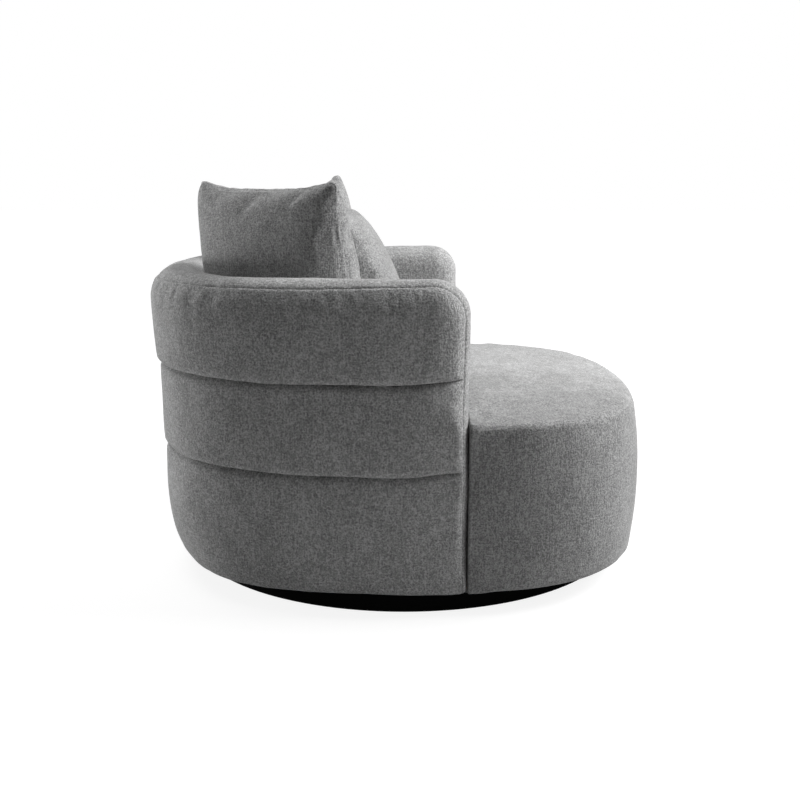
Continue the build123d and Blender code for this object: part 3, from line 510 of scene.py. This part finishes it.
def chenille(name, colour, seed, near_shade=0):
    """Woven chenille: a short fuzzy pile on slubby yarn, so it is matt and speckled, with pale loops of pile, short
    streaks along the yarns, soft patches where the pile lies another way, and a light bloom where it is seen edge on.
    The yarns are 3 mm apart and drawn a little coarser, to show, and so are the loops. The last argument is painted
    shade: how much darker the colour is made on the seat's near side, towards -x, which lies in shade."""
    material, tree, bsdf = new_material(
        name, **{"Roughness": 0.95, "Specular IOR Level": 0.1, "Sheen Weight": 0.3, "Sheen Roughness": 0.4}
    )
    place = node(tree, "ShaderNodeTexCoord").outputs["Object"]

    def field(spacing, detail):
        scale = tuple(1 / s for s in spacing)
        shift = (seed, seed, seed)
        at = node(tree, "ShaderNodeMapping", sockets={"Scale": scale, "Location": shift}, links={"Vector": place})
        return node(
            tree,
            "ShaderNodeTexNoise",
            sockets={"Scale": 1, "Detail": detail, "Roughness": 0.6},
            links={"Vector": at.outputs[0]},
        ).outputs["Fac"]

    def weigh(value, low, high, start=0.3, end=0.7):
        return node(
            tree,
            "ShaderNodeMapRange",
            sockets={"From Min": start, "From Max": end, "To Min": low, "To Max": high},
            links={"Value": value},
        ).outputs["Result"]

    def combine(operation, first, *others):
        for other in others:
            first = node(tree, "ShaderNodeMath", {"operation": operation}, links={0: first, 1: other}).outputs[0]
        return first

    fuzz = field((0.0042, 0.0042, 0.0036), 2)
    loops = field((0.0065, 0.0065, 0.0075), 1)
    away = node(tree, "ShaderNodeMath", {"operation": "SUBTRACT"}, {1: 0.5}, {0: loops}).outputs[0]
    curl = node(tree, "ShaderNodeMath", {"operation": "ABSOLUTE"}, links={0: away}).outputs[0]
    warp = field((0.0034, 0.0034, 0.024), 2)
    weft = field((0.018, 0.018, 0.0034), 2)
    patches = field((0.06, 0.06, 0.08), 4)
    tone = combine(
        "MULTIPLY",
        weigh(fuzz, 0.66, 1.34),
        weigh(curl, 1.42, 0.82, 0, 0.08),
        weigh(warp, 0.82, 1.18),
        weigh(weft, 0.84, 1.16),
        weigh(patches, 0.88, 1.12),
    )
    tone = weigh(tone, 0.55, 1.45, 0.55, 1.45)  # cut off at both ends
    # Painted shade: the colour darkens by up to that share towards -x, over the seat's near side and the near part of
    # its top, along a wavering line.
    if near_shade:
        parts = node(tree, "ShaderNodeSeparateXYZ", links={0: place})
        drift = weigh(field((0.30, 0.22, 0.3), 5), -0.16, 0.16)
        nearness = combine("ADD", parts.outputs["X"], drift)
        tone = combine("MULTIPLY", tone, weigh(nearness, 1 - near_shade, 1, -0.30, -0.05))
    base = node(tree, "ShaderNodeVectorMath", {"operation": "SCALE"}, links={"Scale": tone})
    base.inputs[0].default_value = linear(colour)[:3]
    tree.links.new(base.outputs[0], bsdf.inputs["Base Color"])
    pile = combine("ADD", fuzz, warp, weft)
    relief = node(tree, "ShaderNodeBump", sockets={"Strength": 0.7, "Distance": 0.0015}, links={"Height": pile})
    tree.links.new(relief.outputs[0], bsdf.inputs["Normal"])
    return material


# The seat's cloth carries painted shade, up to 30 % darker on its near side.
seat_cloth = chenille("seat_chenille_near_shaded", "b6b6b6", 1.9, 0.30)
close_and_smooth(seat_cover, SEAT_CLOTH)
seat_cover.data.materials.append(seat_cloth)
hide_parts("seat_cover")
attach(seat_cover, "seat")

# Tiers of the back and arms. Three padded bands of the same cloth go round the outside, each sewn to the next
# and rolled out over the seam below it. The lowest is turned under at the bottom, and the highest goes over in
# a soft shoulder to the seam of the top strip.
BACK_HEIGHT = 0.736
BACK_LEAN = 0.020
INNER_CROWN = 0.004
ARM_NOSE = 0.080  # an arm's top front corner, seen from the side
SHOULDER = 0.062  # the wrap rounds over within this much of its top and of an arm's front
FOOT_SHOULDER = 0.014  # and within this much of an arm's front beside the seat
SHOULDER_POWER = 2.3
FRONT_SPREAD = 0.38  # an arm's front is rounded over more slowly than the top, by this share
NOSE_SEAM = 0.012  # the top strip's outer seam is this far in from the edge on an arm's front
BACK_SEAM = 0.018  # and this far in along the back
LOWER_SEAM = 0.319
UPPER_SEAM = 0.518
STITCH_DEPTH = 0.002
STITCH_WIDTH = 0.004
BAND_NIP = 0.007  # a band's lower edge goes this far in at its seam
BAND_SWELL = 0.006
BAND_ROLL = 0.010  # and rolls out again within this height
HEM_CORNER = 0.005  # an arm's front edge is rounded at its foot
CORNER_REACH = 0.080
BACK_TAPER = 0.022  # the foot of the lowest band draws in at the back
TAPER_HEIGHT = 0.140
UPPER_FLARE = 0.010  # the highest band leans out further than the rest
TUCK_ROUND = 0.008  # a band's top edge goes over and in behind the band above
TUCK_HEIGHT = 0.008
SEAM_RISE = 0.010  # the bands' seams climb this much to the arms' fronts
SEWN_WIDTH = 0.010  # the padding leaves a band alone this near its seams
BAND_COLUMNS = 340
BAND_ROWS = 24
BAND_PRESSURE = 1.5
BAND_PUFF = 0.0025
BAND_RUCK = 0.0010
BAND_WALL = 0.012
PAD_WAVES = ((0.13, 0.003), (0.045, 0.0012))
RUCK_SIZE = 0.020
RUCK_REACH = 0.014  # puckers die away within this of a seam
wrap_run = 2 * back_run  # from one arm's front round the back to the other's
nose_middle = BACK_HEIGHT - ARM_NOSE


def hem(height):
    """How far the bottom edge of the body has turned in at a height."""
    return rounded(height - BODY_BOTTOM, HEM_RADIUS)


def hem_corner(height):
    """How far an arm's front edge has turned back at its foot."""
    return rounded(height - BODY_BOTTOM, HEM_CORNER)


def outer_face(height):
    """The wrap's outside, out from the body's outline."""
    flare = UPPER_FLARE * smooth(height, UPPER_SEAM - 0.05, BACK_HEIGHT - 0.04)
    return BACK_LEAN * (height - BODY_BOTTOM) / (BACK_HEIGHT - BODY_BOTTOM) + flare - hem(height)


def inner_face(height):
    """The wrap's inside, out from the body's outline."""
    share = max(0, (height - SEAT_HEIGHT) / (BACK_HEIGHT - SEAT_HEIGHT))
    return -WRAP_THICKNESS + BACK_LEAN / 2 * share - 4 * INNER_CROWN * share * (1 - share)


def shoulder(height):
    """Width of the rounding at the wrap's edge: narrow beside the seat and broad above it."""
    foot = FOOT_SHOULDER * (0.35 + 0.65 * smooth(height, 0.06, 0.14))
    return foot + (SHOULDER - foot) * smooth(height, 0.40, 0.50)


def edge_gap(end, height):
    """Distance in from the wrap's edge, seen from the side: its top, an arm's nose or an arm's front."""
    if end < ARM_NOSE and height > nose_middle:
        return ARM_NOSE - math.hypot(ARM_NOSE - end, height - nose_middle)
    return min(end - hem_corner(height), BACK_HEIGHT - height)


def turned_in(gap, end, height):
    """How far a face has turned in towards the middle of the wrap at a distance from the edge."""
    half = (outer_face(height) - inner_face(height)) / 2
    below = max(0, BACK_HEIGHT - height)
    spread = 1 - FRONT_SPREAD * smooth(below / (end + below + 1e-6), 0.25, 0.75)
    up = 1 - min(1, max(0, gap * spread / shoulder(height)))
    return half * (1 - (1 - up**SHOULDER_POWER) ** (1 / SHOULDER_POWER))


def arm_end(run):
    """Distance to the nearer arm's front, along the wrap."""
    return min(run, wrap_run - run)


def wrap(run, out, height):
    """A place on the wrap, from the left arm's front round to the right arm's."""
    x, y = outline(arm_end(run) - ARM_RUN, out)
    return Vector((-x if run < wrap_run / 2 else x, y, height))


def seam_inset(end):
    """How far in from the wrap's edge the top strip's outer seam runs."""
    return NOSE_SEAM + (BACK_SEAM - NOSE_SEAM) * smooth(end, 0.08, 0.45)


def parallel(end, inset):
    """Height of a line that runs along the wrap's top and noses, a distance in from the edge."""
    if end >= ARM_NOSE:
        return BACK_HEIGHT - inset
    return nose_middle + math.sqrt(max(0, (ARM_NOSE - inset) ** 2 - (ARM_NOSE - end) ** 2))


def gathered(share):
    """Crowds a blank's columns towards both ends, which are rounded more tightly."""
    return share - 0.85 * math.sin(2 * math.pi * share) / (2 * math.pi)


cover_cloth = chenille("grey_chenille", "b2b2b2", 0)


def pucker(piece, seams, stitches, ruck):
    """Moves a piece's points along their normals: slow waves all over, small puckers near its seams, and the line
    that the thread pulls in. seams and stitches are the points' distances from a seam and from such a line."""
    piece.data.update()
    normals = [vertex.normal.copy() for vertex in piece.data.vertices]
    for vertex, normal, seam, stitch in zip(piece.data.vertices, normals, seams, stitches):
        place = vertex.co.copy()
        wave = uneven(place, PAD_WAVES)
        small = uneven(place, [(RUCK_SIZE, ruck)]) * math.exp(-max(0, seam) / RUCK_REACH)
        vertex.co = place + normal * (wave + small - STITCH_DEPTH * max(0, 1 - stitch / STITCH_WIDTH) ** 2)


def climb(end, height):
    """How far a place near an arm's front has climbed with the seams."""
    middle = smooth(height, BODY_BOTTOM + 0.03, 0.25) * (1 - smooth(height, 0.56, 0.68))
    return SEAM_RISE * (1 - smooth(end, 0, 0.17)) * middle


def add_band(name, seams, top_at, height_at, swell_at):
    """A band from a blank. seams are the heights of its seams, top_at gives its top edge, height_at a row's height
    and swell_at how far its face stands out."""
    band = add_grid(name, BAND_COLUMNS, BAND_ROWS)
    sewn = []
    caps = []
    near_seam = []
    near_stitch = []
    for vertex in band.data.vertices:
        run = NOSE_SEAM + (wrap_run - 2 * NOSE_SEAM) * gathered(vertex.co.x + 0.5)
        end = arm_end(run)
        top = top_at(end)
        height = height_at(vertex.co.y + 0.5, top)
        back = hem_corner(height) * max(0, 1 - (end - NOSE_SEAM) / CORNER_REACH)
        gap = edge_gap(end + back, height)
        out = outer_face(height) - turned_in(gap, end, height)
        out += swell_at(height) * smooth(gap, NOSE_SEAM - 0.004, 0.030)
        out -= BACK_TAPER * smooth(end, 0.45, 0.85) * max(0, 1 - (height - BODY_BOTTOM) / TAPER_HEIGHT) ** 2
        vertex.co = wrap(run + back if run < wrap_run / 2 else run - back, out, height)
        vertex.co.z += climb(end, height)
        near_stitch.append(gap - seam_inset(end))
        near_seam.append(min(abs(height - seam) for seam in seams))
        if near_seam[-1] < SEWN_WIDTH or near_stitch[-1] < STITCH_WIDTH or height < BODY_BOTTOM + HEM_RADIUS:
            sewn.append(vertex.index)
        caps.append(BAND_PUFF * smooth(end, 0.02, 0.16))
    swell(band, sewn, BAND_PRESSURE, caps)
    pucker(band, near_seam, near_stitch, BAND_RUCK)
    close_and_smooth(band, BAND_WALL)
    band.data.materials.append(cover_cloth)
    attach(band, "seat")
    return band


def low_height(up, top):
    """Heights of the lowest band's rows, of which some go round its hem."""
    hem_share = 0.2
    if up < hem_share:
        return BODY_BOTTOM + HEM_RADIUS * (1 - math.cos(math.pi / 2 * up / hem_share))
    foot = BODY_BOTTOM + HEM_RADIUS
    return foot + (top - foot) * math.sin(math.pi / 2 * (up - hem_share) / (1 - hem_share))


def tuck(height, seam):
    """How far a band's top edge has rounded over and gone in behind the band above."""
    return rounded(seam - height, TUCK_ROUND) if height < seam else TUCK_ROUND + (height - seam)


def low_swell(height):
    foot = BODY_BOTTOM + HEM_RADIUS
    share = min(1, max(0, (height - foot) / (LOWER_SEAM - foot)))
    return BAND_SWELL * 4 * share * (1 - share) - tuck(height, LOWER_SEAM)


def rolled_swell(height, bottom, top):
    """Swell of a band that is rolled out over the seam below it."""
    low = bottom + BAND_ROLL
    if height < low:
        return (BAND_NIP + BAND_SWELL) * math.sqrt(max(0, 1 - ((low - height) / BAND_ROLL) ** 2)) - BAND_NIP
    return BAND_SWELL * max(0, 1 - ((height - low) / (top - low)) ** 2)


def middle_swell(height):
    return rolled_swell(height, LOWER_SEAM, UPPER_SEAM) - tuck(height, UPPER_SEAM)


def upper_swell(height):
    return rolled_swell(height, UPPER_SEAM, BACK_HEIGHT)


def crowded(bottom):
    """Heights of a band's rows, close together at both seams."""
    return lambda up, top: bottom + (top - bottom) * (0.5 - 0.5 * math.cos(math.pi * up))


lower_band = add_band(
    "lower_tier", [LOWER_SEAM], lambda end: LOWER_SEAM + TUCK_HEIGHT, low_height, low_swell
)
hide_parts("lower_band")
middle_band = add_band(
    "middle_tier",
    [LOWER_SEAM, UPPER_SEAM],
    lambda end: UPPER_SEAM + TUCK_HEIGHT,
    crowded(LOWER_SEAM),
    middle_swell,
)
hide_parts("middle_band")
upper_band = add_band(
    "upper_tier", [UPPER_SEAM], lambda end: parallel(end, seam_inset(end)), crowded(UPPER_SEAM), upper_swell
)
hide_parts("upper_band")

# Lining of the back and arms. One padded panel of the same cloth goes round the inside, from behind the seat
# up to the top strip, which laps over it.
PAD_FOOT = 0.310
STRIP_INSET = 0.040  # the strip goes this far down the inside
LINING_INSET = 0.030
LAP = 0.0004  # the lining lies this far under the strip
LAP_FADE = 0.012
LINING_COLUMNS = 300
LINING_ROWS = 24
LINING_WALL = 0.012

lining = add_grid("inner_lining", LINING_COLUMNS, LINING_ROWS)
for vertex in lining.data.vertices:
    run = LINING_INSET + (wrap_run - 2 * LINING_INSET) * gathered(0.5 - vertex.co.x)
    end = arm_end(run)
    top = parallel(end, LINING_INSET)
    height = PAD_FOOT + (top - PAD_FOOT) * math.sin(math.pi / 2 * (vertex.co.y + 0.5))
    gap = edge_gap(end, height)
    under = LAP * (1 - smooth(gap, STRIP_INSET, STRIP_INSET + LAP_FADE))
    vertex.co = wrap(run, inner_face(height) + turned_in(gap, end, height) + under, height)
clear = [1] * len(lining.data.vertices)  # far from any seam
pucker(lining, clear, clear, 0)
close_and_smooth(lining, LINING_WALL)
lining.data.materials.append(cover_cloth)
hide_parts("inner_pad")
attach(lining, "seat")

# Top strip. One strip is sewn to the bands and the lining. It starts low on one arm's front, goes up over the
# arm's nose, round the top of the back and down the other arm's front.
STRIP_COLUMNS = 460
STRIP_ROWS = 24
STRIP_HALF = 0.045  # from the strip's ridge to its outer seam, over the shoulder
STRIP_RUCK = 0.0012
STRIP_WALL = 0.010
front_rise = nose_middle - BODY_BOTTOM
nose_run = ARM_NOSE * math.pi / 2
strip_run = 2 * (front_rise + nose_run) + wrap_run - 2 * ARM_NOSE


def strip_line(run):
    """The wrap's edge: distance from the arm's front, height, and how far it has turned upwards."""
    left = min(run, strip_run - run)
    if left <= front_rise:
        return hem_corner(BODY_BOTTOM + left), BODY_BOTTOM + left, 0
    if left <= front_rise + nose_run:
        turn = (left - front_rise) / ARM_NOSE
        return ARM_NOSE * (1 - math.cos(turn)), nose_middle + ARM_NOSE * math.sin(turn), turn
    return ARM_NOSE + left - front_rise - nose_run, BACK_HEIGHT, math.pi / 2


def strip_skin(run, gap, side):
    """A place on the strip, a distance in from the wrap's edge, on its outside (1) or its inside (-1)."""
    end, height, turn = strip_line(run)
    end += gap * math.cos(turn)
    height -= gap * math.sin(turn)
    half = (outer_face(height) - inner_face(height)) / 2
    out = (outer_face(height) + inner_face(height)) / 2 + side * (half - turned_in(gap, end, height))
    return wrap(end if run < strip_run / 2 else wrap_run - end, out, height)


strip = add_grid("top_strip_cover", STRIP_COLUMNS, STRIP_ROWS)
near_stitch = []
for vertex in strip.data.vertices:
    run = strip_run * (vertex.co.x + 0.5)
    end = strip_line(run)[0]
    reach = 2 * abs(vertex.co.y)
    side = 1 if vertex.co.y < 0 else -1
    edge = seam_inset(end) if side == 1 else STRIP_INSET
    gap = edge * reach**SHOULDER_POWER
    vertex.co = strip_skin(run, gap, side)
    near_stitch.append((1 - reach) * STRIP_HALF if side == 1 else 1)
pucker(strip, near_stitch, near_stitch, STRIP_RUCK)
close_and_smooth(strip, STRIP_WALL)
strip.data.materials.append(cover_cloth)
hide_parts("top_strip", "right_arm_facing", "left_arm_facing")
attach(strip, "seat")

# Loose pillows. Each is a square of the same cloth, stuffed with fibre, with its seam sunk between the two
# puffed faces and soft ears at its corners. They stand on the seat: two across the rear corners and one in front.
PILLOW_CELLS = 56
PILLOW_POWER = 2.4  # how square its fullest part is
PILLOW_EDGE = 0.46  # and how blunt its edge
PILLOW_ROOM = 0.008  # left for the filling on each face
PILLOW_PRESSURE = 3
PILLOW_PUFF = 0.010
PILLOW_RUCK = 0.0024
CORNER_ROUND = 0.014
SEAM_SINK = 0.010  # the seam lies this far in, between the faces
SEAM_WIDTH = 0.0024
SEAT_GAP = 0.0045  # above the seat's crown, which its cloth swells past
ON_SEAM = 1e-5  # nearer to the middle than this is on the seam


def pillow_frame(place, turn, lean_back, roll):
    """The pillow's own axes at its middle: across, up and out of its front."""
    turn, lean_back, roll = (math.radians(a) for a in (turn, lean_back, roll))
    level = Vector((math.cos(turn), math.sin(turn), 0))
    facing = Vector((math.sin(turn), -math.cos(turn), 0))
    rise = Vector((0, 0, math.cos(lean_back))) - facing * math.sin(lean_back)
    across = level * math.cos(roll) + rise * math.sin(roll)
    up = rise * math.cos(roll) - level * math.sin(roll)
    axes = Matrix((across, up, across.cross(up))).transposed().to_4x4()
    return Matrix.Translation(place) @ axes


pillow_cloth = chenille("pillow_chenille", "a4a4a4", 3.7)


def add_pillow(name, body, size, thickness, frame, draw, ears, slump):
    """A stuffed square in its own axes, filled, and then set down on the seat. draw is how far its sides and its top
    pull in between the ears, ears how far its two top ears stand out and up, and slump how far its filling has sunk."""
    pillow = add_grid(name, PILLOW_CELLS, PILLOW_CELLS)
    half = size / 2
    for vertex in pillow.data.vertices:
        u = math.sin(math.pi * vertex.co.x)
        v = math.sin(math.pi * vertex.co.y)
        corner = CORNER_ROUND * abs(u * v) ** 24
        edge = (1 - max(abs(u), abs(v))) * half
        sink = SEAM_SINK * max(0, 1 - edge / SEAM_WIDTH) * (1 - abs(u * v) ** 4)
        x = u * (half - draw[0] * (1 - v * v) - corner - sink)
        y = v * (half - draw[1] * (1 - u * u) - corner - sink)
        full = max(0, (1 - abs(u) ** PILLOW_POWER) * (1 - abs(v) ** PILLOW_POWER))
        if v > 0:
            ear_out, ear_up = ears[0 if u < 0 else 1]
            x += math.copysign(ear_out * abs(u * v) ** 5, u)
            y += ear_up * abs(u * v) ** 5
        vertex.co = Vector((x, y, (thickness / 2 - PILLOW_ROOM) * (1 - slump * v) * full**PILLOW_EDGE))
    apply_modifier(pillow, "MIRROR", use_axis=(False, False, True), use_mirror_merge=True, merge_threshold=ON_SEAM)
    sewn = [vertex.index for vertex in pillow.data.vertices if abs(vertex.co.z) < ON_SEAM]
    swell(pillow, sewn, PILLOW_PRESSURE, [PILLOW_PUFF] * len(pillow.data.vertices))
    near_seam = [3 * (half - max(abs(vertex.co.x), abs(vertex.co.y))) + 0.004 for vertex in pillow.data.vertices]
    clear = [1] * len(near_seam)
    for vertex in pillow.data.vertices:
        vertex.co = frame @ vertex.co
    pucker(pillow, near_seam, clear, PILLOW_RUCK)
    apply_modifier(pillow, "SUBSURF", levels=1, render_levels=1)
    for vertex in pillow.data.vertices:
        vertex.co.z = max(vertex.co.z, seat_top(vertex.co.x, vertex.co.y) + SEAT_GAP)
    pillow.data.polygons.foreach_set("use_smooth", [True] * len(pillow.data.polygons))
    pillow.select_set(False)
    pillow.data.materials.append(pillow_cloth)
    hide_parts(body + "_cover", body + "_filling")
    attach(pillow, body)


add_pillow(
    "right_back_pillow",
    "right_pillow",
    size=0.5,
    thickness=0.215,
    frame=pillow_frame((-0.281, 0.281, 0.6866), 45.3, 11, 0),
    draw=(0.001, 0.004),
    ears=((0.014, 0.010), (0.004, 0.014)),
    slump=0.18,
)
add_pillow(
    "left_back_pillow",
    "left_pillow",
    size=0.5,
    thickness=0.215,
    frame=pillow_frame((0.245, 0.295, 0.6950), -35.5, 14, 2.4),
    draw=(0.004, 0.028),
    ears=((0, -0.014), (0.012, 0.015)),
    slump=0.18,
)
add_pillow(
    "front_square_pillow",
    "front_pillow",
    size=0.45,
    thickness=0.195,
    frame=pillow_frame((0, 0.110, 0.6589), 0, 23, 0),
    draw=(0.008, 0.010),
    ears=((0, 0), (0, 0)),
    slump=-0.06,
)
